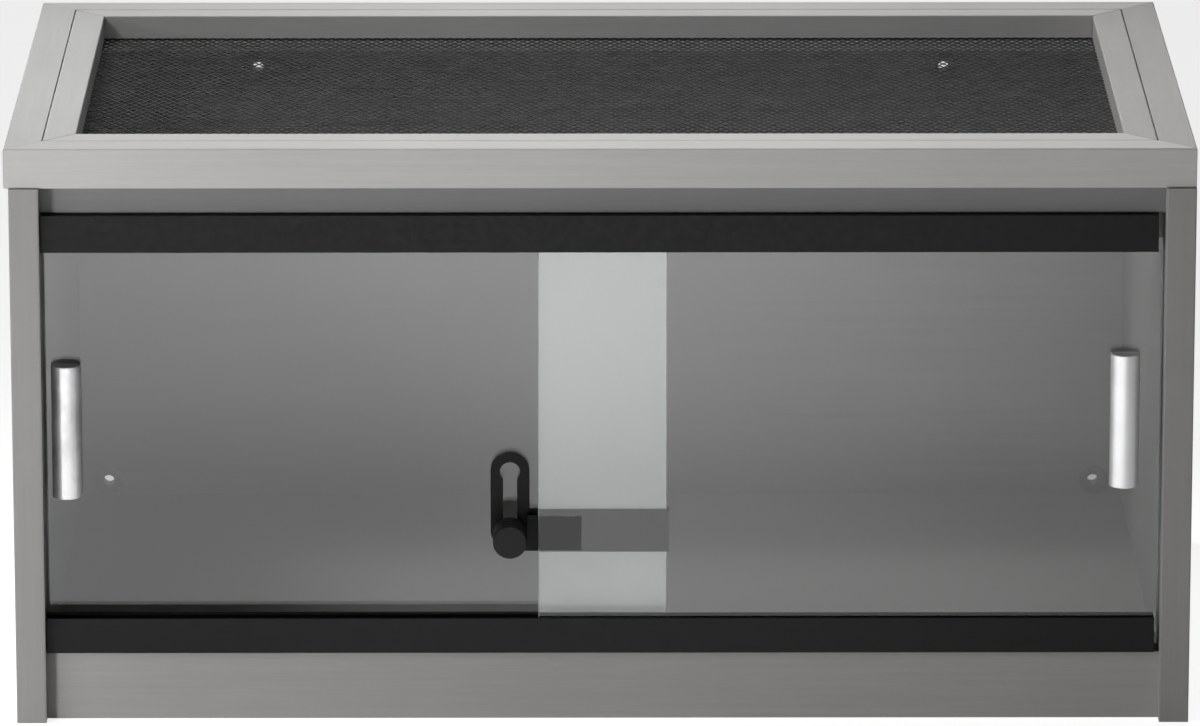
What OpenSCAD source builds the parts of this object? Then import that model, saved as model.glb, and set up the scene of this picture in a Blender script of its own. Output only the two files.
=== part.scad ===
// Reptile terrarium: a board carcass with two sliding glass doors in front,
// a mitred lid frame with a lift-out mesh screen, and a lock on the doors.
// X runs to the right, Y to the back, Z up; the origin is the middle of the footprint.

/* [Overall] */
// Width of the lid frame, the widest piece
lid_w = 600; // [500:5:900]
// Depth of the lid frame, front to back
lid_d = 350; // [280:5:500]
// Height from the underside of the side panels to the top of the lid
total_h = 300; // [270:5:450]
// Thickness of the boards
board_t = 15; // [12:0.5:18]
// Thickness of the back panel
back_t = 9; // [6:0.5:12]
// How far the lid overhangs the left side panel; it is flush on the right
lid_overhang = 2.5; // [0:0.5:4]
// How far the side panels stand in front of the lid
side_proud = 2; // [0.5:0.5:4]
// Rounding of the board and frame edges
edge_r = 0.8; // [0.4:0.1:1.4]
// Thickness of the edging on the front edges of the side panels
edging_t = 0.8; // [0.4:0.1:1.5]
// Width of the rebates that hold the back panel
rebate_w = 6; // [5:0.5:7]

/* [Base] */
// Height of the plinth board under the doors
plinth_h = 35.2; // [32:0.2:60]
// Distance of the plinth behind the front of the lid
plinth_setback = 6; // [5:0.5:9]
// Height of the underside of the floor panel
floor_rise = 12.5; // [8:0.5:14]
// Depth of the stretcher board over the doors
stretcher_d = 60; // [40:1:90]
// Distance of the stretcher behind the front of the lid
stretcher_setback = 8.5; // [6:0.5:12]

/* [Lid frame] */
// Width of a lid rail at its top
lid_rail_w = 18.3; // [16:0.1:24]
// Height of a lid rail
lid_rail_h = 20.4; // [18:0.2:28]
// Width of the ledge that the screen stands on
ledge_w = 11.3; // [6:0.1:14]
// Thickness of that ledge
ledge_t = 5.4; // [4:0.2:8]
// Gap left open in the mitre joints of the lid
lid_mitre_gap = 0.2; // [0.1:0.05:0.4]

/* [Screen] */
// Gap between the screen frame and the lid frame
screen_gap = 0.5; // [0.3:0.1:1.5]
// Width of a screen rail
screen_rail_w = 16.1; // [12.5:0.1:24]
// Depth of the mesh below the top of the screen frame
mesh_depth = 12.3; // [8:0.1:13]
// Thickness of the mesh sheet
mesh_t = 1; // [0.6:0.1:1.2]
// Depth of the groove that holds the edge of the mesh
mesh_grip = 5; // [3:0.5:8]
// Gap left open in the mitre joints of the screen frame
screen_mitre_gap = 0.5; // [0.1:0.05:0.8]
// Clearance above and below the mesh in its groove
mesh_play = 0.1; // [0.05:0.05:0.2]
// Distance between the bars of the mesh
mesh_pitch = 26; // [20:1:40]
// Width of a bar of the mesh
mesh_bar = 2.5; // [1.5:0.1:4]

/* [Door tracks] */
// Distance of the tracks behind the front of the lid
track_setback = 4.5; // [3:0.5:5.5]
// Thickness of the track walls
track_wall = 1.5; // [1.2:0.1:2]
// Height of the upper track
top_track_h = 19.3; // [16:0.1:24]
// Height of the lower track
bottom_track_h = 18.4; // [14:0.1:24]
// Depth of the grooves in the lower track
bottom_groove = 10; // [7:0.5:11]
// How much lower the rear wall of the lower track is than its front wall
rear_wall_drop = 3; // [2.5:0.1:5]
// Gap between the left end of a track and the side panel
track_gap_left = 0.3; // [0.2:0.1:1.5]
// Gap between the right end of the lower track and the side panel
bottom_gap_right = 2.7; // [0.2:0.1:4]
// Gap between the right end of the upper track and the side panel
top_gap_right = 3.4; // [0.2:0.1:4]

/* [Glass doors] */
// Thickness of the glass
glass_t = 5; // [4:0.5:6]
// Clear gap between the two panes
pane_gap = 6; // [5.6:0.1:8]
// Play of a pane in its groove, to each side
pane_play = 0.6; // [0.4:0.1:0.9]
// How much the closed panes overlap
pane_overlap = 65.6; // [50:0.2:80]
// Gap between a closed pane and the side panel
pane_end_gap = 0.9; // [0.5:0.1:2]
// Height of a pane above the bottom of its groove
pane_lift = 0.3; // [0.2:0.1:0.5]
// How far a pane reaches into the upper track
pane_engage = 7.3; // [6:0.1:9]

/* [Handles] */
// Width of a handle
handle_w = 15; // [12:0.5:20]
// Height of a handle
handle_h = 69.5; // [50:0.5:90]
// Depth of a handle in front of its pad
handle_depth = 8.2; // [7.5:0.1:9.5]
// Thickness of the adhesive pad behind a handle
pad_t = 1; // [0.5:0.1:1.5]
// Distance of the left handle from the outer edge of its pane
left_handle_inset = 3.1; // [2:0.1:20]
// Distance of the right handle from the outer edge of its pane
right_handle_inset = 10.9; // [2:0.1:20]
// Height of the middle of the left handle
left_handle_z = 149.8; // [130:0.2:180]
// Height of the middle of the right handle
right_handle_z = 158.2; // [130:0.2:180]

/* [Door lock] */
// Height of the middle of the hook bar and of the stud
lock_z = 97; // [90:0.5:110]
// Height of the hook bar
bar_h = 22.3; // [18:0.1:26]
// Thickness of the hook bar
bar_t = 1; // [0.8:0.1:1.4]
// Length of the hook behind the left pane
hook_l = 8; // [5:0.5:14]
// Width of the slotted plate
plate_w = 19.8; // [18:0.1:24]
// Thickness of the slotted plate and its arm
plate_t = 1.2; // [1:0.1:1.5]
// Gap between the slotted plate and the edge of the right pane
plate_gap = 4.4; // [3.5:0.1:8]
// Length of the arm behind the right pane
arm_l = 22; // [12:1:40]
// Height of that arm
arm_h = 18; // [14:0.5:18]
// Clearance between the plate and the hook bar
lock_play = 0.3; // [0.3:0.05:0.4]
// Diameter of the stud where it runs in the slot
stud_d = 7; // [5:0.1:8]
// Clearance of the stud in the slot, to each side
stud_play = 0.1; // [0.05:0.05:0.2]
// Diameter of the head of the stud
stud_head_d = 9.8; // [9:0.1:11]
// Thickness of the head of the stud
stud_head_t = 0.8; // [0.6:0.1:0.9]
// Clearance of the head of the stud in the round hole, to each side
key_hole_play = 0.3; // [0.2:0.05:0.4]
// Gap between the head of the stud and the end of the hook bar
stud_bar_gap = 0.6; // [0.4:0.1:1]
// Thickness of the collar of the stud, in front of the plate
collar_t = 1.2; // [0.8:0.1:1.5]
// How much wider the collar is than the head, to each side
collar_margin = 1; // [0.6:0.1:1.4]
// Travel of the stud from the end of the slot to the round hole
slot_travel = 30.8; // [24:0.2:36]
// Diameter of the knob
knob_d = 17.3; // [14:0.1:22]
// Length of the knob
knob_l = 17.4; // [12:0.2:20]
// Distance between the knob and the plate
knob_standoff = 5.7; // [4:0.1:8]
// Diameter of the stem of the stud inside the knob
stem_d = 5; // [4:0.1:5.5]
// Length of that stem
stem_l = 12; // [8:0.5:14]
// Width of the grip groove near the back of the knob, which is half as deep
knob_groove_w = 1; // [0.6:0.1:1.6]
// Distance of that groove from the back of the knob
knob_groove_inset = 2; // [1:0.1:4]

/* [Cable ports] */
// Bore of a cable grommet
port_bore = 6; // [5:0.1:8.5]
// Diameter of the neck of a grommet in the back panel
port_neck = 10.6; // [10:0.1:12]
// Diameter of the flanges of a grommet
port_flange = 15; // [14:0.1:18]
// Thickness of a flange
port_flange_t = 1.5; // [1:0.1:2]
// Distance of the upper ports from the middle of the case
port_upper_x = 185; // [120:1:220]
// Depth of the upper ports below the lid
port_upper_drop = 13.3; // [11:0.1:30]
// Distance of the lower ports from the side panels, to their middle
port_lower_inset = 15; // [10:0.5:30]
// Height of the lower ports above the floor
port_lower_rise = 8.2; // [7.7:0.1:30]

/* [Fixings] */
// Diameter of the board dowels
dowel_d = 8; // [6:0.5:8]
// Length of the board dowels
dowel_l = 30; // [24:1:34]
// Depth of the dowel holes in the side panels
dowel_side_depth = 10; // [8:0.5:10.5]
// Distance of the end dowels of the floor from its front and back
floor_dowel_inset = 50; // [30:1:70]
// Distance of the dowels of the stretcher from its front and back
stretcher_dowel_inset = 15; // [10:0.5:18]
// Diameter of the lid dowels
pin_d = 6; // [5:0.5:7]
// Length of the lid dowels
pin_l = 22; // [16:1:26]
// Distance of the front lid dowels behind the stretcher
pin_front_gap = 15; // [8:1:30]
// Distance of the rear lid dowels from the back of the case
pin_back_inset = 50; // [30:1:70]
// Diameter of the back screws
screw_d = 3; // [2.5:0.1:3.5]
// Diameter of their countersunk heads
screw_head_d = 5.6; // [5:0.1:5.8]
// Length of the back screws
screw_l = 24; // [18:1:30]
// Distance of the end screws from the top of the case and from the floor
screw_inset = 35; // [25:1:50]
// Clearance of dowels and screws in their holes
fixing_play = 0.05; // [0.02:0.01:0.1]

/* [Hidden] */
$fn = 48;
// Overshoot of a cutting shape
eps = 0.5;
// Rounding of the edging, which its thickness limits
edging_r = min(edge_r, 0.9 * edging_t);

// Colours of the finishes
board_col = [0.56, 0.56, 0.54];
frame_col = [0.66, 0.65, 0.63];
grommet_col = [0.50, 0.50, 0.48];
black_col = [0.11, 0.11, 0.12];
glass_col = [0.75, 0.85, 0.85, 0.35];
clear_col = [0.9, 0.93, 0.95, 0.6];
wood_col = [0.80, 0.66, 0.45];
steel_col = [0.75, 0.75, 0.77];

// Widths and heights of the case
case_w = lid_w - lid_overhang;
case_x = lid_overhang / 2;
inner_w = case_w - 2 * board_t;
inner_x0 = case_x - inner_w / 2;
inner_x1 = case_x + inner_w / 2;
side_h = total_h - lid_rail_h;

// Layers of the doors and the lock, as depths behind the front of the lid
right_pane_y = track_setback + track_wall + pane_play;
left_pane_y = right_pane_y + glass_t + pane_gap;
bar_y = left_pane_y - bar_t;
plate_y = bar_y - lock_play - plate_t;
knob_y = plate_y - knob_standoff - knob_l;
handle_reach = handle_depth + pad_t - right_pane_y;

// Places along Y: the foremost point and the back of the lid lie equally far from the origin
front_reach = max(side_proud, -knob_y, handle_reach);
front_y = -(lid_d - front_reach) / 2;
back_y = front_y + lid_d;
back_inner_y = back_y - back_t;
side_y = front_y - side_proud;
plinth_y = front_y + plinth_setback;
floor_y = plinth_y + board_t;
stretcher_y = front_y + stretcher_setback;
track_y = front_y + track_setback;

// Tracks
groove_w = glass_t + 2 * pane_play;
pane_pitch = glass_t + pane_gap;
track_d = 2 * track_wall + groove_w + pane_pitch;
track_top_z = side_h - board_t - top_track_h;
track_bottom_top = plinth_h + bottom_track_h;
groove_floor_z = track_bottom_top - bottom_groove;

// Doors
pane_w = (inner_w + pane_overlap) / 2 - pane_end_gap;
pane_z = groove_floor_z + pane_lift;
pane_h = track_top_z + pane_engage - pane_z;
left_pane_x = inner_x0 + pane_end_gap;
right_pane_x = inner_x1 - pane_end_gap - pane_w;
left_handle_x = left_pane_x + left_handle_inset + handle_w / 2;
right_handle_x = right_pane_x + pane_w - right_handle_inset - handle_w / 2;

// Lock
lock_x = right_pane_x - plate_gap - plate_w / 2;
plate_end_z = lock_z + slot_travel;
slot_w = stud_d + 2 * stud_play;
key_hole_d = stud_head_d + 2 * key_hole_play;
bar_x0 = lock_x + stud_head_d / 2 + stud_bar_gap;
bar_x1 = left_pane_x + pane_w;

// Floor, lid and screen
floor_z = floor_rise + board_t;
screen_w = lid_w - 2 * (lid_rail_w + screen_gap);
screen_d = lid_d - 2 * (lid_rail_w + screen_gap);
screen_h = lid_rail_h - ledge_t;
screen_z = total_h - screen_h;
screen_y = front_y + lid_d / 2;
mesh_z = total_h - mesh_depth - mesh_t;
mesh_w = screen_w - 2 * (screen_rail_w - mesh_grip) - 2 * mesh_play;
mesh_d = screen_d - 2 * (screen_rail_w - mesh_grip) - 2 * mesh_play;

// Ports and fixings
port_upper_z = side_h - port_upper_drop;
port_lower_z = floor_z + port_lower_rise;
port_lower_x = inner_w / 2 - port_lower_inset;
dowel_end_depth = dowel_l - dowel_side_depth;
floor_dowels_y = three_between(floor_y + floor_dowel_inset, back_inner_y - floor_dowel_inset);
stretcher_dowels_y =
  [stretcher_y + stretcher_dowel_inset, stretcher_y + stretcher_d - stretcher_dowel_inset];
lid_pins_y = [stretcher_y + stretcher_d + pin_front_gap, back_y - pin_back_inset];
side_screws_z = three_between(floor_z + screw_inset, side_h - screw_inset);
floor_screws_x = three_between(case_x - inner_w / 3, case_x + inner_w / 3);

// Two ends and the middle between them
function three_between(a, b) = [a, (a + b) / 2, b];

// A rectangle with some of its corners rounded, listed from bottom left, anticlockwise
module soft_rect(w, h, r, round_corners) {
  translate([r, 0]) square([w - 2 * r, h]);
  translate([0, r]) square([w, h - 2 * r]);
  for (i = [0 : 3])
    translate([(i == 1 || i == 2) ? w - r : r, i >= 2 ? h - r : r])
      if (round_corners[i]) circle(r);
      else translate([-r, -r]) square(2 * r);
}

// A profile drawn across Y and Z, extruded along X from x0
module along_x(x0, length)
  translate([x0, 0, 0]) rotate([90, 0, 90]) linear_extrude(length) children();

// Shapes at each end of the boards: direction -1 is the left side, 1 the right
module board_dowel_shapes(d, play) {
  for (side = [-1, 1])
    translate([side < 0 ? inner_x0 : inner_x1, 0, 0])
      rotate([0, side * 90, 0]) {
        depth = dowel_side_depth + play;
        place_dowel(side, plinth_y + board_t / 2, plinth_h / 2, depth, d, play);
        for (y = floor_dowels_y)
          place_dowel(side, y, floor_rise + board_t / 2, depth, d, play);
        for (y = stretcher_dowels_y)
          place_dowel(side, y, side_h - board_t / 2, depth, d, play);
      }
}

// One dowel or its hole, in the turned frame of board_dowel_shapes
module place_dowel(side, y, z, depth, d, play)
  translate([-side * z, y, -dowel_end_depth - play])
    cylinder(d = d, h = dowel_end_depth + depth + play);

module lid_pin_shapes(d, play) {
  for (x = [case_x - case_w / 2 + board_t / 2, case_x + case_w / 2 - board_t / 2])
    for (y = lid_pins_y)
      translate([x, y, side_h - pin_l / 2 - play]) cylinder(d = d, h = pin_l + 2 * play);
}

// A countersunk screw from the back, or the hole for it
module back_screw(play) {
  head_t = (screw_head_d - screw_d) / 2;
  rotate([90, 0, 0]) {
    cylinder(d1 = screw_head_d + 2 * play, d2 = screw_d + 2 * play, h = head_t);
    cylinder(d = screw_d + 2 * play, h = screw_l + play);
  }
}

module back_screw_shapes(play) {
  for (side = [-1, 1])
    for (z = side_screws_z)
      translate([case_x + side * (inner_w + rebate_w) / 2, back_y, z]) back_screw(play);
  for (x = floor_screws_x)
    translate([x, back_y, floor_rise + board_t / 2]) back_screw(play);
}

// side is -1 for the left panel and 1 for the right
module side_panel(side) {
  x0 = side < 0 ? inner_x0 - board_t : inner_x1;
  front = side_y + edging_t;
  color(board_col) difference() {
    translate([x0, front, 0]) cube([board_t, back_y - front, side_h]);
    translate([side < 0 ? inner_x0 - rebate_w : inner_x1 - eps, back_inner_y, -eps])
      cube([rebate_w + eps, back_t + eps, side_h + 2 * eps]);
    board_dowel_shapes(dowel_d, fixing_play);
    lid_pin_shapes(pin_d, fixing_play);
    back_screw_shapes(fixing_play);
  }
}
module side_panel_left() side_panel(-1);
module side_panel_right() side_panel(1);

module edging(side) {
  x0 = side < 0 ? inner_x0 - board_t : inner_x1;
  color(board_col) translate([x0, side_y, 0]) linear_extrude(side_h) intersection() {
    soft_rect(board_t, 2 * edging_t, edging_r, [true, true, false, false]);
    square([board_t, edging_t]);
  }
}
module edging_left() edging(-1);
module edging_right() edging(1);

module back_panel() {
  w = inner_w + 2 * rebate_w;
  color(board_col) difference() {
    translate([case_x - w / 2, back_inner_y, 0]) cube([w, back_t, side_h]);
    for (p = port_places())
      translate([p[0], back_inner_y - eps, p[1]])
        rotate([-90, 0, 0]) cylinder(d = port_neck, h = back_t + 2 * eps);
    back_screw_shapes(fixing_play);
  }
}

module floor_panel() {
  color(board_col) difference() {
    translate([inner_x0, floor_y, floor_rise]) cube([inner_w, back_inner_y - floor_y, board_t]);
    board_dowel_shapes(dowel_d, fixing_play);
    back_screw_shapes(fixing_play);
  }
}

module plinth() {
  color(board_col) difference() {
    translate([0, plinth_y, 0])
      along_x(inner_x0, inner_w) soft_rect(board_t, plinth_h, edge_r, [true, false, false, true]);
    board_dowel_shapes(dowel_d, fixing_play);
  }
}

module top_stretcher() {
  color(board_col) difference() {
    translate([0, stretcher_y, side_h - board_t])
      along_x(inner_x0, inner_w) soft_rect(stretcher_d, board_t, edge_r, [true, false, false, true]);
    board_dowel_shapes(dowel_d, fixing_play);
  }
}

// Section of a lid rail: outer edge at 0, with a ledge for the screen at its foot
module lid_section() {
  soft_rect(lid_rail_w, lid_rail_h, edge_r, [true, false, false, true]);
  translate([edge_r, 0]) square([lid_rail_w + ledge_w - edge_r, ledge_t]);
}

// Section of a screen rail: outer edge at 0, with the groove for the mesh
module screen_section() {
  groove_z = mesh_z - screen_z - mesh_play;
  difference() {
    soft_rect(screen_rail_w, screen_h, edge_r, [false, false, true, true]);
    translate([screen_rail_w - mesh_grip, groove_z])
      square([mesh_grip + eps, mesh_t + 2 * mesh_play]);
  }
}

// A rail of a mitred frame that is w by d over all, turned to one of its four sides
module mitred_rail(w, d, turn, width, gap) {
  length = turn % 180 == 0 ? w : d;
  across = turn % 180 == 0 ? d : w;
  inset = gap / sqrt(2);
  rotate([0, 0, turn]) translate([0, -across / 2, 0]) intersection() {
    along_x(-length / 2, length) children();
    translate([0, 0, -eps]) linear_extrude(total_h) polygon([
      [inset - length / 2, 0], [length / 2 - inset, 0],
      [length / 2 - inset - width, width], [inset - length / 2 + width, width]]);
  }
}

module lid_rail(turn)
  color(frame_col) difference() {
    translate([0, screen_y, side_h])
      mitred_rail(lid_w, lid_d, turn, lid_rail_w + ledge_w, lid_mitre_gap) lid_section();
    lid_pin_shapes(pin_d, fixing_play);
  }
module lid_rail_front() lid_rail(0);
module lid_rail_right() lid_rail(90);
module lid_rail_back() lid_rail(180);
module lid_rail_left() lid_rail(270);

module screen_rail(turn)
  color(frame_col) translate([0, screen_y, screen_z])
    mitred_rail(screen_w, screen_d, turn, screen_rail_w, screen_mitre_gap) screen_section();
module screen_rail_front() screen_rail(0);
module screen_rail_right() screen_rail(90);
module screen_rail_back() screen_rail(180);
module screen_rail_left() screen_rail(270);

module screen_mesh() {
  cols = floor((mesh_w - 2 * mesh_grip) / mesh_pitch);
  rows = floor((mesh_d - 2 * mesh_grip) / mesh_pitch);
  hole = mesh_pitch - mesh_bar;
  color(black_col) translate([0, screen_y, mesh_z]) linear_extrude(mesh_t) difference() {
    square([mesh_w, mesh_d], center = true);
    for (i = [0 : cols - 1])
      for (j = [0 : rows - 1])
        translate([(i - (cols - 1) / 2) * mesh_pitch, (j - (rows - 1) / 2) * mesh_pitch])
          square(hole, center = true);
  }
}

module track_top() {
  length = inner_w - track_gap_left - top_gap_right;
  color(black_col) translate([0, track_y, track_top_z])
    along_x(inner_x0 + track_gap_left, length) difference() {
      square([track_d, top_track_h]);
      for (y = [track_wall, track_wall + pane_pitch])
        translate([y, -eps]) square([groove_w, top_track_h - track_wall + eps]);
    }
}

module track_bottom() {
  length = inner_w - track_gap_left - bottom_gap_right;
  color(black_col) translate([0, track_y, plinth_h])
    along_x(inner_x0 + track_gap_left, length) difference() {
      square([track_d, bottom_track_h]);
      for (y = [track_wall, track_wall + pane_pitch]) {
        translate([y, bottom_track_h - bottom_groove]) square([groove_w, bottom_groove + eps]);
        translate([y, track_wall])
          square([groove_w, bottom_track_h - bottom_groove - 2 * track_wall]);
      }
      translate([track_d - track_wall - eps, bottom_track_h - rear_wall_drop])
        square([track_wall + 2 * eps, rear_wall_drop + eps]);
    }
}

module door_glass(x0, y0)
  color(glass_col) translate([x0, front_y + y0, pane_z]) cube([pane_w, glass_t, pane_h]);
module door_glass_left() door_glass(left_pane_x, left_pane_y);
module door_glass_right() door_glass(right_pane_x, right_pane_y);

// Section of a handle: flat at the back, at y = 0, and half round in front
module handle_section() {
  straight = handle_depth - handle_w / 2;
  translate([-handle_w / 2, -straight]) square([handle_w, straight]);
  intersection() {
    translate([0, -straight]) circle(d = handle_w);
    translate([-handle_w / 2, -handle_depth]) square([handle_w, handle_depth]);
  }
}

module handle(x, y, z)
  color(clear_col) translate([x, front_y + y - pad_t, z - handle_h / 2])
    linear_extrude(handle_h) handle_section();
module handle_left() handle(left_handle_x, left_pane_y, left_handle_z);
module handle_right() handle(right_handle_x, right_pane_y, right_handle_z);

module handle_pad(x, y, z)
  color(clear_col) translate([x - handle_w / 2, front_y + y - pad_t, z - handle_h / 2])
    cube([handle_w, pad_t, handle_h]);
module handle_pad_left() handle_pad(left_handle_x, left_pane_y, left_handle_z);
module handle_pad_right() handle_pad(right_handle_x, right_pane_y, right_handle_z);

// The bar lies on the face of the left pane and hooks round its edge
module lock_hook_bar() {
  back_bar_y = left_pane_y + glass_t;
  color(black_col) translate([0, front_y, lock_z - bar_h / 2]) linear_extrude(bar_h) {
    translate([bar_x0, bar_y]) square([bar_x1 + bar_t - bar_x0, bar_t]);
    translate([bar_x1, bar_y]) square([bar_t, glass_t + 2 * bar_t]);
    translate([bar_x1 + bar_t - hook_l, back_bar_y]) square([hook_l, bar_t]);
  }
}

// The slotted plate, with an arm that steps forward and lies on the back of the right pane
module lock_plate() {
  arm_y = right_pane_y + glass_t;
  step_x = lock_x + plate_w / 2 - plate_t;
  color(black_col) translate([0, front_y, 0]) {
    translate([lock_x, plate_y + plate_t, 0]) rotate([90, 0, 0]) linear_extrude(plate_t)
      difference() {
        stadium(plate_w, lock_z, plate_end_z);
        stadium(slot_w, lock_z, plate_end_z);
        translate([0, plate_end_z]) circle(d = key_hole_d);
      }
    translate([0, 0, lock_z - arm_h / 2]) linear_extrude(arm_h) {
      translate([step_x, arm_y]) square([plate_t, plate_y + plate_t - arm_y]);
      translate([step_x, arm_y]) square([right_pane_x + arm_l - step_x, plate_t]);
    }
  }
}

// An upright slot shape of width w between the centres z0 and z1
module stadium(w, z0, z1) {
  for (z = [z0, z1]) translate([0, z]) circle(d = w);
  translate([-w / 2, z0]) square([w, z1 - z0]);
}

// The stud: a head behind the plate, a shank through the slot and a stem in the knob
module lock_stud() {
  head_y = plate_y + plate_t + stud_play;
  shank_l = knob_standoff + plate_t + stud_play;
  color(black_col) translate([lock_x, front_y, lock_z]) {
    translate([0, head_y + stud_head_t, 0]) rotate([90, 0, 0])
      cylinder(d = stud_head_d, h = stud_head_t);
    translate([0, head_y, 0]) rotate([90, 0, 0]) cylinder(d = stud_d, h = shank_l - stud_play);
    translate([0, plate_y - stud_play, 0]) rotate([90, 0, 0])
      cylinder(d = stud_head_d + 2 * collar_margin, h = collar_t);
    translate([0, head_y, 0]) rotate([90, 0, 0]) cylinder(d = stem_d, h = shank_l + stem_l);
  }
}

module lock_knob() {
  color(black_col) translate([lock_x, front_y + knob_y, lock_z]) rotate([-90, 0, 0])
    difference() {
      rotate_extrude() difference() {
        union() {
          translate([0, edge_r]) square([knob_d / 2, knob_l - edge_r]);
          square([knob_d / 2 - edge_r, knob_l]);
          translate([knob_d / 2 - edge_r, edge_r]) circle(edge_r);
        }
        translate([-knob_d, -eps]) square([knob_d, knob_l + 2 * eps]);
        translate([(knob_d - knob_groove_w) / 2, knob_l - knob_groove_inset - knob_groove_w])
          square(knob_groove_w);
      }
      translate([0, 0, knob_l - stem_l - 2 * stud_play])
        cylinder(d = stem_d + 2 * stud_play, h = stem_l + eps + 2 * stud_play);
    }
}

// Places of the cable ports in the back panel, as [x, z]
function port_places() = [
  [case_x - port_upper_x, port_upper_z], [case_x + port_upper_x, port_upper_z],
  [case_x - port_lower_x, port_lower_z], [case_x + port_lower_x, port_lower_z]];

module grommet(i) {
  p = port_places()[i];
  r0 = port_bore / 2;
  dome = port_flange_t / 2;
  length = back_t + port_flange_t;
  color(grommet_col) translate([p[0], back_y, p[1]]) rotate([90, 0, 0])
    rotate_extrude() {
      translate([r0, 0]) square([port_neck / 2 - r0, length]);
      translate([r0, back_t]) square([port_flange / 2 - dome - r0, port_flange_t]);
      translate([r0, back_t]) square([port_flange / 2 - r0, dome]);
      translate([port_flange / 2 - dome, back_t + dome]) circle(dome);
    }
}
module grommet_upper_left() grommet(0);
module grommet_upper_right() grommet(1);
module grommet_lower_left() grommet(2);
module grommet_lower_right() grommet(3);

module board_dowels() color(wood_col) board_dowel_shapes(dowel_d - 2 * fixing_play, 0);
module lid_dowels() color(wood_col) lid_pin_shapes(pin_d - 2 * fixing_play, 0);
module back_screws() color(steel_col) back_screw_shapes(0);

side_panel_left();
side_panel_right();
edging_left();
edging_right();
back_panel();
floor_panel();
plinth();
top_stretcher();
lid_rail_front();
lid_rail_back();
lid_rail_left();
lid_rail_right();
screen_rail_front();
screen_rail_back();
screen_rail_left();
screen_rail_right();
screen_mesh();
track_top();
track_bottom();
door_glass_left();
door_glass_right();
handle_left();
handle_right();
handle_pad_left();
handle_pad_right();
lock_hook_bar();
lock_plate();
lock_stud();
lock_knob();
grommet_upper_left();
grommet_upper_right();
grommet_lower_left();
grommet_lower_right();
board_dowels();
lid_dowels();
back_screws();
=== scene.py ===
"""The looks of the reptile terrarium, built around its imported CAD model."""

import math

import bmesh
import bpy
from mathutils import Matrix, Vector


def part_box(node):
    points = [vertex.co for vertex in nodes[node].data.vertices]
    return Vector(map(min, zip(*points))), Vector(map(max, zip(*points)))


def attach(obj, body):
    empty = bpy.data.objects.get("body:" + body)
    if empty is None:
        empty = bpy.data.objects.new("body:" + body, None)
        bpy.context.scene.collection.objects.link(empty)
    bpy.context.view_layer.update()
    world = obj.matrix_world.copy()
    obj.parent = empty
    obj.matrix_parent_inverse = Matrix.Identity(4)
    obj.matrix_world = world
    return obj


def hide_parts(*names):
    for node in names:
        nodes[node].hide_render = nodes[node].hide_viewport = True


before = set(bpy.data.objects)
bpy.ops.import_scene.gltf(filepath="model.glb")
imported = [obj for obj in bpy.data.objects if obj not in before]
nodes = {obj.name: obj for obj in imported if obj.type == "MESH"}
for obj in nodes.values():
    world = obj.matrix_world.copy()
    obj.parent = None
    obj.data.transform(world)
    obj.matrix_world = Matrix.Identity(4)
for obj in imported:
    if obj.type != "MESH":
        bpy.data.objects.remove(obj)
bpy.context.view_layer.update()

MM = 0.001

# The photograph's frame in pixels, and the camera that sees the lid and the doors as it does
PHOTO_W, PHOTO_H = 1200, 726
FOCAL_PX = 8830.3
CENTRE_PX = (600.6, 357.2)
CAMERA_AT = Vector((-0.0119, -4.4897, 1.3049))
CAMERA_YAW, CAMERA_PITCH, CAMERA_ROLL = 0.0028, 0.2522, -0.0002
SENSOR_MM = 36.0

# Fit of the panes in their tracks
PANE_PLAY = 0.6 * MM
TOP_GROOVE = 17.8 * MM
BOTTOM_GROOVE = 10 * MM
REAR_WALL_DROP = 3 * MM

# Edges of the panes, the handles and the tracks, and the steps round a handle
PANE_SEAM = 0.45 * MM
HANDLE_EDGE = 0.5 * MM
TRACK_EDGE = 0.25 * MM
HANDLE_STEPS = 28

# The materials of a pane: its faces, its ground edges, and where the two panes lap
PANE_FACE, PANE_EDGE, PANE_LAP = range(3)
FLAT_ENOUGH = 0.99

# Honeycomb mesh. The pitch was measured in the photo, the section of a strand is a guess
MESH_PITCH = 4.9 * MM
MESH_STRAND = 1.15 * MM
MESH_RIDGE = 0.1 * MM
MESH_KEEL = 0.5 * MM
MESH_WAVE = 0.4 * MM
MESH_INSET = 0.1 * MM

# Sockets that have no name of their own: From Min to To Max, and the colours of a Mix node
MAP_RANGE_SLOTS = (1, 2, 3, 4)
MIX_COLOUR_A, MIX_COLOUR_B, MIX_COLOUR_OUT = 6, 7, 2

PAPER_GRAIN = 900
PAPER_BUMP = 0.02


# --- camera, floor and lamps ---------------------------------------------------------------

def add_camera():
    data = bpy.data.cameras.new("camera")
    data.sensor_width = SENSOR_MM
    data.sensor_fit = "HORIZONTAL"
    data.lens = FOCAL_PX / PHOTO_W * SENSOR_MM
    data.shift_x = (PHOTO_W / 2 - CENTRE_PX[0]) / PHOTO_W
    data.shift_y = (CENTRE_PX[1] - PHOTO_H / 2) / PHOTO_W
    data.clip_end = 40
    camera = bpy.data.objects.new("camera", data)
    turn = Matrix.Rotation(-CAMERA_YAW, 4, "Z")
    tilt = Matrix.Rotation(math.pi / 2 - CAMERA_PITCH, 4, "X")
    roll = Matrix.Rotation(CAMERA_ROLL, 4, "Z")
    camera.matrix_world = Matrix.Translation(CAMERA_AT) @ turn @ tilt @ roll
    bpy.context.scene.collection.objects.link(camera)
    bpy.context.scene.camera = camera


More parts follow.
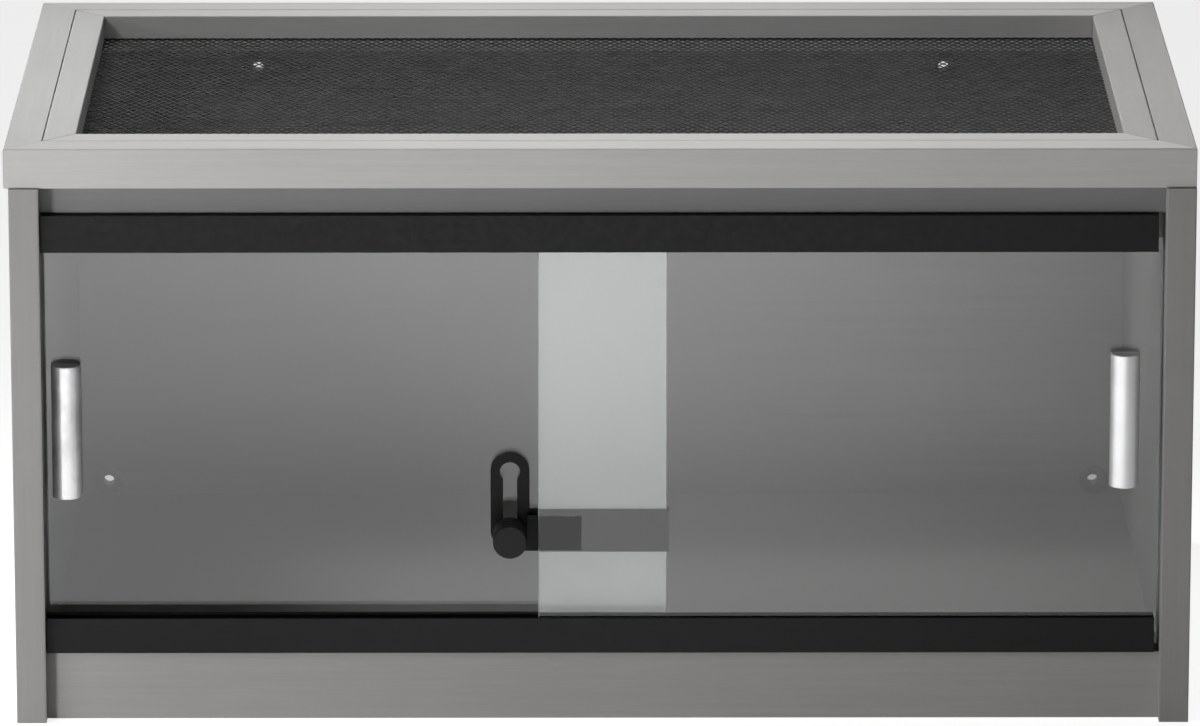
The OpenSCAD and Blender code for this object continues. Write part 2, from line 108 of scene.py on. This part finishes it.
def add_lamp(name, place, target, size, watts, spread=180):
    """A soft box of width by height at a place, turned to its target; the spread is in degrees."""
    data = bpy.data.lights.new(name, "AREA")
    data.shape = "RECTANGLE"
    data.size, data.size_y = size
    data.energy = watts
    data.spread = math.radians(spread)
    lamp = bpy.data.objects.new(name, data)
    direction = Vector(target) - Vector(place)
    lamp.location = place
    lamp.rotation_euler = direction.to_track_quat("-Z", "Y").to_euler()
    lamp.visible_camera = False
    lamp.visible_glossy = False
    lamp.visible_transmission = False
    bpy.context.scene.collection.objects.link(lamp)


def seen_rays(tree, kinds):
    """A factor of 1 for rays of these Light Path kinds."""
    path = tree.nodes.new("ShaderNodeLightPath")
    out = path.outputs[kinds[0]]
    for kind in kinds[1:]:
        larger = tree.nodes.new("ShaderNodeMath")
        larger.operation = "MAXIMUM"
        tree.links.new(out, larger.inputs[0])
        tree.links.new(path.outputs[kind], larger.inputs[1])
        out = larger.outputs[0]
    return out


def add_world(fill, seen, mirrored):
    """A room that lights the object at strength fill, is white to the eye, and mirrored dimly."""
    world = bpy.data.worlds.new("studio")
    bpy.context.scene.world = world
    world.use_nodes = True
    tree = world.node_tree
    tree.nodes.clear()
    out = tree.nodes.new("ShaderNodeOutputWorld")
    mix = tree.nodes.new("ShaderNodeMixShader")
    lighting = tree.nodes.new("ShaderNodeBackground")
    lighting.inputs["Color"].default_value = (0.93, 0.96, 1.0, 1)
    lighting.inputs["Strength"].default_value = fill
    showing = tree.nodes.new("ShaderNodeBackground")
    showing.inputs["Color"].default_value = (1, 1, 1, 1)
    level = tree.nodes.new("ShaderNodeMapRange")
    level.inputs["To Min"].default_value = seen
    level.inputs["To Max"].default_value = mirrored
    tree.links.new(seen_rays(tree, ["Is Glossy Ray"]), level.inputs[0])
    tree.links.new(level.outputs[0], showing.inputs["Strength"])
    kinds = ["Is Camera Ray", "Is Glossy Ray", "Is Transmission Ray"]
    tree.links.new(seen_rays(tree, kinds), mix.inputs[0])
    tree.links.new(lighting.outputs[0], mix.inputs[1])
    tree.links.new(showing.outputs[0], mix.inputs[2])
    tree.links.new(mix.outputs[0], out.inputs["Surface"])


def add_floor(half, paper, glow, painted_light_fades):
    """A sheet of white paper that glows to the camera and, by the fades, to glossy rays.

    Each fade is (axis, start, end, strength at start, strength at end), and their product is
    the glow of the floor in reflections. It passes 1 in front of the case. The fades paint light
    and shade into that glow: brighter far in front of the case, darker towards the sides, most
    to the right, and a painted shadow on the floor just behind the case. A ray that leaves
    the case through a pane counts as glossy too, so this glow also lights the inside.
    """
    mesh = bpy.data.meshes.new("floor")
    corners = [(-half, -half, 0), (half, -half, 0), (half, half, 0), (-half, half, 0)]
    mesh.from_pydata(corners, [], [(0, 1, 2, 3)])
    floor = bpy.data.objects.new("floor", mesh)
    bpy.context.scene.collection.objects.link(floor)
    material = bpy.data.materials.new("paper")
    material.use_nodes = True
    tree = material.node_tree
    tree.nodes.clear()
    out = tree.nodes.new("ShaderNodeOutputMaterial")
    diffuse = tree.nodes.new("ShaderNodeBsdfDiffuse")
    diffuse.inputs["Color"].default_value = (paper, paper, paper, 1)
    grain = tree.nodes.new("ShaderNodeTexNoise")
    grain.inputs["Scale"].default_value = PAPER_GRAIN
    bump = tree.nodes.new("ShaderNodeBump")
    bump.inputs["Strength"].default_value = PAPER_BUMP
    tree.links.new(grain.outputs["Fac"], bump.inputs["Height"])
    tree.links.new(bump.outputs[0], diffuse.inputs["Normal"])
    light = tree.nodes.new("ShaderNodeEmission")
    place = tree.nodes.new("ShaderNodeTexCoord")
    axes = tree.nodes.new("ShaderNodeSeparateXYZ")
    tree.links.new(place.outputs["Object"], axes.inputs[0])
    strength = seen_rays(tree, ["Is Glossy Ray"])
    for axis, *numbers in painted_light_fades:
        fade = tree.nodes.new("ShaderNodeMapRange")
        fade.interpolation_type = "SMOOTHSTEP"
        for slot, number in zip(MAP_RANGE_SLOTS, numbers):
            fade.inputs[slot].default_value = number
        tree.links.new(axes.outputs[axis], fade.inputs[0])
        product = tree.nodes.new("ShaderNodeMath")
        product.operation = "MULTIPLY"
        tree.links.new(strength, product.inputs[0])
        tree.links.new(fade.outputs[0], product.inputs[1])
        strength = product.outputs[0]
    direct = tree.nodes.new("ShaderNodeMath")
    direct.operation = "MULTIPLY_ADD"
    direct.inputs[1].default_value = glow
    tree.links.new(seen_rays(tree, ["Is Camera Ray"]), direct.inputs[0])
    tree.links.new(strength, direct.inputs[2])
    tree.links.new(direct.outputs[0], light.inputs["Strength"])
    both = tree.nodes.new("ShaderNodeAddShader")
    tree.links.new(diffuse.outputs[0], both.inputs[0])
    tree.links.new(light.outputs[0], both.inputs[1])
    tree.links.new(both.outputs[0], out.inputs["Surface"])
    mesh.materials.append(material)


# --- materials -----------------------------------------------------------------------------

class Look:
    """A material with a Principled shader, and short ways to add texture to it."""

    def __init__(self, name, colour, roughness, **values):
        self.material = bpy.data.materials.new(name)
        self.material.use_nodes = True
        self.tree = self.material.node_tree
        self.shader = self.tree.nodes["Principled BSDF"]
        self.colour = colour
        self.shader.inputs["Base Color"].default_value = (*colour, 1)
        self.shader.inputs["Roughness"].default_value = roughness
        for key, value in values.items():
            self.shader.inputs[key.replace("_", " ")].default_value = value
        self.place = self.tree.nodes.new("ShaderNodeTexCoord").outputs["Object"]

    def node(self, kind, **values):
        made = self.tree.nodes.new(kind)
        for key, value in values.items():
            made.inputs[key.replace("_", " ")].default_value = value
        return made

    def link(self, a, b):
        self.tree.links.new(a, b)

    def noise(self, scale, stretch=(1, 1, 1), detail=4, rough=0.6):
        mapping = self.node("ShaderNodeMapping", Scale=stretch)
        self.link(self.place, mapping.inputs["Vector"])
        made = self.node("ShaderNodeTexNoise", Scale=scale, Detail=detail, Roughness=rough)
        self.link(mapping.outputs[0], made.inputs["Vector"])
        return made.outputs["Fac"]

    def ranged(self, value, low, high, start=0.3, end=0.7):
        made = self.node("ShaderNodeMapRange")
        for slot, number in zip(MAP_RANGE_SLOTS, (start, end, low, high)):
            made.inputs[slot].default_value = number
        self.link(value, made.inputs[0])
        return made.outputs[0]

    def maths(self, operation, a, b):
        made = self.tree.nodes.new("ShaderNodeMath")
        made.operation = operation
        for slot, value in enumerate((a, b)):
            if isinstance(value, (int, float)):
                made.inputs[slot].default_value = value
            else:
                self.link(value, made.inputs[slot])
        return made.outputs[0]

    def shade(self, factor):
        """Multiplies the base colour by a factor that a texture gives."""
        mix = self.tree.nodes.new("ShaderNodeMix")
        mix.data_type = "RGBA"
        mix.blend_type = "MULTIPLY"
        mix.inputs["Factor"].default_value = 1
        grey = self.tree.nodes.new("ShaderNodeCombineColor")
        for slot in range(3):
            self.link(factor, grey.inputs[slot])
        mix.inputs[MIX_COLOUR_A].default_value = (*self.colour, 1)
        self.link(grey.outputs[0], mix.inputs[MIX_COLOUR_B])
        self.link(mix.outputs[MIX_COLOUR_OUT], self.shader.inputs["Base Color"])

    def rough(self, value, low, high):
        self.link(self.ranged(value, low, high), self.shader.inputs["Roughness"])

    def bump(self, height, strength, distance):
        made = self.node("ShaderNodeBump", Strength=strength, Distance=distance)
        self.link(height, made.inputs["Height"])
        self.link(made.outputs[0], self.shader.inputs["Normal"])


def along(axis, slow, fast):
    """Texture scales that are slow along the named axis and fast across it."""
    return tuple(slow if name == axis else fast for name in "XYZ")


def laminate(name, colour, axis, contrast=1.0, shine=0.35):
    """Satin laminate: a fine straight grain along one axis, with faint clouds."""
    look = Look(name, colour, 0.45, **{"Specular_IOR_Level": shine})
    grain = look.noise(1, along(axis, 9, 420), detail=5, rough=0.65)
    fibre = look.noise(1, along(axis, 60, 1900), detail=2)
    cloud = look.noise(7, detail=3)
    shade = look.maths("ADD", look.ranged(grain, -0.05 * contrast, 0.05 * contrast),
                       look.ranged(fibre, -0.035 * contrast, 0.035 * contrast))
    shade = look.maths("ADD", shade, look.ranged(cloud, 0.965, 1.035))
    look.shade(shade)
    look.rough(grain, 0.40, 0.52)
    look.bump(fibre, 0.12, 0.0003)
    return look.material


def black_plastic():
    look = Look("black_plastic", (0.009, 0.009, 0.0095), 0.45, **{"Specular_IOR_Level": 0.2})
    draw = look.noise(1, along("X", 5, 900), detail=3)
    dust = look.noise(260, detail=6, rough=0.75)
    shade = look.maths("ADD", look.ranged(draw, 0.88, 1.1), look.ranged(dust, 0, 0.5, 0.66, 0.8))
    look.shade(shade)
    look.rough(dust, 0.33, 0.5)
    look.bump(draw, 0.08, 0.0002)
    return look.material


def powder_coat(name, colour, roughness, shine=0.2):
    look = Look(name, colour, roughness, **{"Specular_IOR_Level": shine})
    orange_peel = look.noise(1400, detail=2)
    handling = look.noise(60, detail=5)
    look.shade(look.ranged(handling, 0.8, 1.25))
    look.rough(handling, roughness - 0.06, roughness + 0.08)
    look.bump(orange_peel, 0.15, 0.0001)
    return look.material


def lets_lamps_through(look, tint):
    """Rays from lamps pass the glass unbent, so what stands behind it is lit."""
    tree = look.tree
    out = tree.nodes["Material Output"]
    clear = look.node("ShaderNodeBsdfTransparent", Color=(*tint, 1))
    mix = tree.nodes.new("ShaderNodeMixShader")
    look.link(seen_rays(tree, ["Is Shadow Ray"]), mix.inputs[0])
    look.link(look.shader.outputs[0], mix.inputs[1])
    look.link(clear.outputs[0], mix.inputs[2])
    look.link(mix.outputs[0], out.inputs["Surface"])


def pane_glass(name, tint, painted_reflection=0.0):
    """Float glass. The tint is what lamps keep at a face; painted_reflection is the share of the
    face turned pale and diffuse, painted light that stands in for a brighter reflection.
    """
    look = Look(name, (0.965, 0.985, 0.975), 0.0,
                **{"Transmission_Weight": 1 - painted_reflection, "IOR": 1.52})
    smears = look.noise(9, (1, 1, 0.6), detail=6, rough=0.7)
    look.bump(smears, 0.004, 0.0005)
    lets_lamps_through(look, (tint, tint, tint))
    return look.material


def ground_edge():
    look = Look("ground_edge", (0.55, 0.66, 0.62), 0.45,
                **{"Transmission_Weight": 0.55, "IOR": 1.52})
    grinding = look.noise(1, (900, 900, 900), detail=3)
    look.shade(look.ranged(grinding, 0.8, 1.15))
    look.bump(grinding, 0.2, 0.0002)
    lets_lamps_through(look, (0.97, 0.97, 0.97))
    return look.material


def acrylic(name, haze):
    """Milky acrylic: the haze is how much of its brightness the clouds in it take."""
    look = Look(name, (0.98, 0.985, 0.99), 0.35,
                **{"Metallic": 0.5, "Coat_Weight": 1.0, "Coat_Roughness": 0.03, "Coat_IOR": 1.49})
    clouds = look.noise(58, (1, 1, 0.8), detail=3, rough=0.5)
    streaks = look.noise(1, (300, 300, 26), detail=4, rough=0.6)
    shade = look.maths("MULTIPLY", look.ranged(clouds, 1 - haze, 1, 0.36, 0.56),
                       look.ranged(streaks, 1 - haze / 3, 1))
    look.shade(shade)
    look.bump(clouds, 0.03, 0.001)
    return look.material


def adhesive_pad():
    """Clear adhesive that has gone cloudy, with paler streaks where it has taken."""
    look = Look("adhesive_pad", (0.86, 0.88, 0.89), 0.35, **{"Specular_IOR_Level": 0.5})
    clouds = look.noise(75, (1, 1, 0.55), detail=4, rough=0.55)
    streaks = look.noise(1, (420, 420, 60), detail=3)
    shade = look.maths("ADD", look.ranged(clouds, 0.72, 1.05), look.ranged(streaks, -0.05, 0.05))
    look.shade(shade)
    look.rough(clouds, 0.25, 0.5)
    look.bump(clouds, 0.1, 0.0005)
    return look.material


def grommet_plastic():
    look = Look("grommet_plastic", (0.30, 0.295, 0.285), 0.4, **{"Specular_IOR_Level": 0.5})
    bloom = look.noise(320, detail=5)
    look.shade(look.ranged(bloom, 0.9, 1.1))
    look.rough(bloom, 0.45, 0.65)
    look.bump(bloom, 0.2, 0.0002)
    return look.material


def zinc():
    look = Look("zinc", (0.70, 0.70, 0.71), 0.3, Metallic=1.0)
    scuffs = look.noise(800, detail=4)
    look.shade(look.ranged(scuffs, 0.82, 1.08))
    look.rough(scuffs, 0.22, 0.42)
    look.bump(scuffs, 0.15, 0.0001)
    return look.material


def beech():
    look = Look("beech", (0.66, 0.48, 0.28), 0.6)
    flecks = look.noise(1, along("X", 120, 1500), detail=4)
    look.shade(look.ranged(flecks, 0.8, 1.15))
    look.bump(flecks, 0.2, 0.0002)
    return look.material


# --- shapes --------------------------------------------------------------------------------

def add_piece(name, mesh, body, slot, *materials):
    piece = bpy.data.objects.new(name, mesh)
    bpy.context.scene.collection.objects.link(piece)
    for material in materials:
        mesh.materials.append(material)
    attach(piece, body)
    return piece


def extruded(name, near, far):
    """A bar between two closed outlines that have as many points each."""
    count = len(near)
    faces = [(i, (i + 1) % count, count + (i + 1) % count, count + i) for i in range(count)]
    faces += [tuple(reversed(range(count))), tuple(range(count, 2 * count))]
    mesh = bpy.data.meshes.new(name)
    mesh.from_pydata(near + far, [], faces)
    outward(mesh)
    return mesh


def outward(mesh):
    shape = bmesh.new()
    shape.from_mesh(mesh)
    bmesh.ops.recalc_face_normals(shape, faces=shape.faces)
    shape.to_mesh(mesh)
    shape.free()


def round_edges(piece, width, segments=2, angle=35):
    bevel = piece.modifiers.new("soft edges", "BEVEL")
    bevel.width = width
    bevel.segments = segments
    bevel.limit_method = "ANGLE"
    bevel.angle_limit = math.radians(angle)


def block(low, high):
    mesh = bpy.data.meshes.new("block")
    shape = bmesh.new()
    bmesh.ops.create_cube(shape, size=1)
    middle, size = (low + high) / 2, high - low
    for vertex in shape.verts:
        vertex.co = Vector(vertex.co[i] * size[i] + middle[i] for i in range(3))
    shape.to_mesh(mesh)
    shape.free()
    return mesh


# --- pieces --------------------------------------------------------------------------------

def add_pane(side, glass, edge, lap):
    """A pane of float glass with ground and seamed edges.

    Where the two panes lap over each other, the faces of the right one and the front of the left
    one have a glass of their own; on the left one it is whitened as painted reflection.
    """
    node = f"door_glass_{side}"
    low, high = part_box(node)
    lap_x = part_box("door_glass_right")[0].x if side == "left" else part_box("door_glass_left")[1].x
    mesh = block(low, high)
    shape = bmesh.new()
    shape.from_mesh(mesh)
    bmesh.ops.bevel(shape, geom=shape.edges[:], offset=PANE_SEAM, segments=1, affect="EDGES")
    bmesh.ops.bisect_plane(shape, geom=shape.verts[:] + shape.edges[:] + shape.faces[:],
                           plane_co=(lap_x, 0, 0), plane_no=(1, 0, 0))
    for face in shape.faces:
        middle = face.calc_center_median()
        flat = abs(face.normal.y) > FLAT_ENOUGH
        face.material_index = PANE_FACE if flat else PANE_EDGE
        if side == "left" and face.normal.y < -FLAT_ENOUGH and middle.x > lap_x:
            face.material_index = PANE_LAP
        if side == "right" and flat and middle.x < lap_x:
            face.material_index = PANE_LAP
    shape.to_mesh(mesh)
    shape.free()
    piece = add_piece(f"pane_{side}", mesh, f"{side}_door", "glass", glass, edge, lap)
    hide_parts(node)


def add_handle(side, clear):
    """A half round bar of clear acrylic with softly broken edges."""
    node = f"handle_{side}"
    low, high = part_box(node)
    radius = (high.x - low.x) / 2
    centre_x = (low.x + high.x) / 2
    centre_y = low.y + radius
    outline = [(high.x, high.y), (low.x, high.y)]
    for i in range(HANDLE_STEPS + 1):
        angle = math.pi + math.pi * i / HANDLE_STEPS
        outline.append((centre_x + radius * math.cos(angle), centre_y + radius * math.sin(angle)))
    ends = [[(x, y, z) for x, y in outline] for z in (low.z, high.z)]
    mesh = extruded(node, *ends)
    piece = add_piece(f"grip_{side}", mesh, f"{side}_door", "handle", clear)
    round_edges(piece, HANDLE_EDGE, segments=3, angle=40)
    smooth_curves(piece)
    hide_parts(node)


def smooth_curves(piece, angle=30):
    """Smooth shading, with edges sharper than the angle kept."""
    mesh = piece.data
    for face in mesh.polygons:
        face.use_smooth = True
    shape = bmesh.new()
    shape.from_mesh(mesh)
    for edge in shape.edges:
        if len(edge.link_faces) == 2:
            edge.smooth = edge.calc_face_angle(0) < math.radians(angle)
    shape.to_mesh(mesh)
    shape.free()


def add_track(name, plastic, opens_up):
    """An extruded door track with two grooves; its lips are rounded."""
    low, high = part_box(name)
    grooves = []
    for side in ("right", "left"):
        pane_low, pane_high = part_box(f"door_glass_{side}")
        grooves.append((pane_low.y - PANE_PLAY, pane_high.y + PANE_PLAY))
    if opens_up:
        mouth, floor = high.z, high.z - BOTTOM_GROOVE
        back, rear = low.z, high.z - REAR_WALL_DROP
    else:
        mouth, floor = low.z, low.z + TOP_GROOVE
        back, rear = high.z, low.z
    section = [(low.y, back), (low.y, mouth)]
    for start, end in grooves:
        section += [(start, mouth), (start, floor), (end, floor), (end, mouth)]
    section[-1] = (grooves[-1][1], rear)
    section += [(high.y, rear), (high.y, back)]
    ends = [[(x, y, z) for y, z in section] for x in (low.x, high.x)]
    mesh = extruded(name, *ends)
    piece = add_piece(f"{name}_extrusion", mesh, "root", "track", plastic)
    round_edges(piece, TRACK_EDGE)
    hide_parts(name)


def add_fine_mesh(metal):
    """Honeycomb mesh of strands, ridged above and keeled below, that rise and fall in waves.

    Places are counted in half pitches along X and half corner radii along Y.
    """
    low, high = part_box("screen_mesh")
    corner = MESH_PITCH / math.sqrt(3)
    share = (MESH_PITCH - MESH_STRAND) / MESH_PITCH
    step_x, step_y = MESH_PITCH / 2, corner / 2
    columns = int((high.x - low.x) / MESH_PITCH - 0.5)
    rows = int(((high.y - low.y) / corner - 0.5) / 1.5)
    start_x = (low.x + high.x) / 2 - (2 * columns - 1) / 2 * step_x
    start_y = (low.y + high.y) / 2 - (3 * rows - 3) / 2 * step_y
    top = high.z - MESH_INSET
    around = [(0, 2), (-1, 1), (-1, -1), (0, -2), (1, -1), (1, 1)]
    points, faces, spines, borders = [], [], {}, {}

    def place(a, b, joint, drop):
        height = top - drop if joint % 3 == 2 else top - drop - MESH_WAVE
        return (start_x + a * step_x, start_y + b * step_y, height)

    def spine(a, b):
        """The ridge point over a joint; its keel point is the next one."""
        if (a, b) not in spines:
            spines[a, b] = len(points)
            points.extend([place(a, b, b, 0), place(a, b, b, MESH_RIDGE + MESH_KEEL)])
        return spines[a, b]

    for row in range(rows):
        for column in range(columns):
            a, b = 2 * column + row % 2, 3 * row
            ridge = [spine(a + da, b + db) for da, db in around]
            side = list(range(len(points), len(points) + 6))
            points += [place(a + da * share, b + db * share, b + db, MESH_RIDGE)
                       for da, db in around]
            for i in range(6):
                j = (i + 1) % 6
                faces.append((ridge[j], side[j], side[i], ridge[i]))
                faces.append((side[j], ridge[j] + 1, ridge[i] + 1, side[i]))
                border = tuple(sorted((ridge[i], ridge[j])))
                borders[border] = borders.get(border, 0) + 1
    for (first, second), holes in borders.items():
        if holes == 1:
            faces.append((first, second, second + 1, first + 1))
    mesh = bpy.data.meshes.new("fine_mesh")
    mesh.from_pydata(points, [], faces)
    outward(mesh)
    piece = add_piece("fine_mesh", mesh, "screen", "mesh", metal)
    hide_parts("screen_mesh")


# --- the scene -----------------------------------------------------------------------------

def dress(material, *names):
    for name in names:
        for slot in nodes[name].material_slots:
            slot.material = material


def main():
    scene = bpy.context.scene
    scene.view_settings.view_transform = "Standard"
    scene.cycles.use_denoising = True
    add_camera()
    add_world(fill=0.01, seen=1.0, mirrored=0.1)
    # The fades paint light and shade into the floor's glow in reflections, with a painted shadow
    # just behind the case
    add_floor(half=12, paper=0.9, glow=0.8, painted_light_fades=[
        ("Y", -0.485, -1.355, 1.2, 2.2), ("X", -0.05, 0.55, 1, 0.1), ("X", -0.10, -0.55, 1, 0.8),
        ("Y", 0, 0.15, 1, 0.2), ("Y", 0.45, 1.3, 1, 5)])
    add_lamp("back", (0, 2.0, 1.5), (0, 0, 0.5), (2.4, 0.45), 5.1, spread=28)
    add_lamp("key", (-1.2, -0.7, 1.4), (-0.1, -0.15, 0.15), (0.5, 0.5), 6.9)
    add_lamp("low key", (-1.25, -0.85, 0.58), (-0.1, -0.15, 0.15), (0.3, 0.15), 0.9)
    add_lamp("reflector", (-0.9, -1.1, 0.06), (-0.1, -0.15, 0.10), (0.2, 0.2), 6.6)
    add_lamp("top", (-0.8, 0.6, 1.7), (0, 0, 0.3), (0.5, 0.5), 0.6, spread=36)

    # The greys differ by piece because they were set against the brightness in the photo, so some of
    # them hold painted light and shade: the stretcher is painted darker as the shade under the lid,
    # the plinth lighter as light thrown up from the floor, and the side rails darker than the front
    # and back rails as shade, the right ones much more than the left
    board_grey = (0.405, 0.40, 0.39)
    plinth_lit_grey = (0.47, 0.465, 0.455)
    stretcher_shaded_grey = (0.27, 0.27, 0.27)
    lid_grey = (0.72, 0.712, 0.70)
    rail_left_shaded_grey = (0.68, 0.68, 0.665)
    rail_right_shaded_grey = (0.57, 0.562, 0.55)
    upright = laminate("board_upright", board_grey, "Z", shine=0.12)
    lengthways = laminate("board_lengthways", board_grey, "X", shine=0.08)
    rail_x = laminate("rail_lengthways", lid_grey, "X", 0.8)
    # rail_left and rail_right are copies of rail_lengthways in darker greys, as painted shade, the
    # right one most
    rail_left = laminate("rail_left", rail_left_shaded_grey, "Y", 0.8)
    rail_right = laminate("rail_right", rail_right_shaded_grey, "Y", 0.8)
    edging = laminate("edging", board_grey, "Z", 0.6)
    dress(upright, "side_panel_left", "side_panel_right")
    dress(lengthways, "back_panel", "floor_panel")
    # The plinth is painted lighter as light from the floor, the stretcher darker as shade under the
    # lid
    dress(laminate("board_plinth_painted_light", plinth_lit_grey, "X"), "plinth")
    dress(laminate("board_stretcher_painted_shade", stretcher_shaded_grey, "X"), "top_stretcher")
    dress(edging, "edging_left", "edging_right")
    for kind in ("lid", "screen"):
        dress(rail_x, f"{kind}_rail_front", f"{kind}_rail_back")
        dress(rail_left, f"{kind}_rail_left")
        dress(rail_right, f"{kind}_rail_right")

    plastic = black_plastic()
    add_track("track_top", plastic, False)
    add_track("track_bottom", plastic, True)

    # The tint of 0.35 is far below that of real glass, to keep the inside as dark as the photo's
    glass, edge, pad = pane_glass("pane_glass", 0.35), ground_edge(), adhesive_pad()
    # The lap of the left pane is whitened with painted light, as a painted reflection where the
    # panes lap
    laps = {"left": pane_glass("lap_painted_reflection", 0.35, 0.33), "right": pane_glass("clear_lap", 0.97)}
    hazes = {"left": 0.3, "right": 0.06}
    for side in ("left", "right"):
        add_pane(side, glass, edge, laps[side])
        add_handle(side, acrylic(f"acrylic_{side}", hazes[side]))
        dress(pad, f"handle_pad_{side}")

    lock = powder_coat("lock_black", (0.004, 0.004, 0.0042), 0.5)
    dress(lock, "lock_hook_bar", "lock_plate", "lock_stud")
    dress(powder_coat("knob_black", (0.014, 0.014, 0.0155), 0.45), "lock_knob")
    add_fine_mesh(powder_coat("mesh_black", (0.08, 0.08, 0.082), 0.6, 0.0))

    grommets = grommet_plastic()
    for place in ("upper_left", "upper_right", "lower_left", "lower_right"):
        dress(grommets, f"grommet_{place}")
    dress(beech(), "board_dowels", "lid_dowels")
    dress(zinc(), "back_screws")


main()


def corners(box):
    return [list(corner) for corner in box]
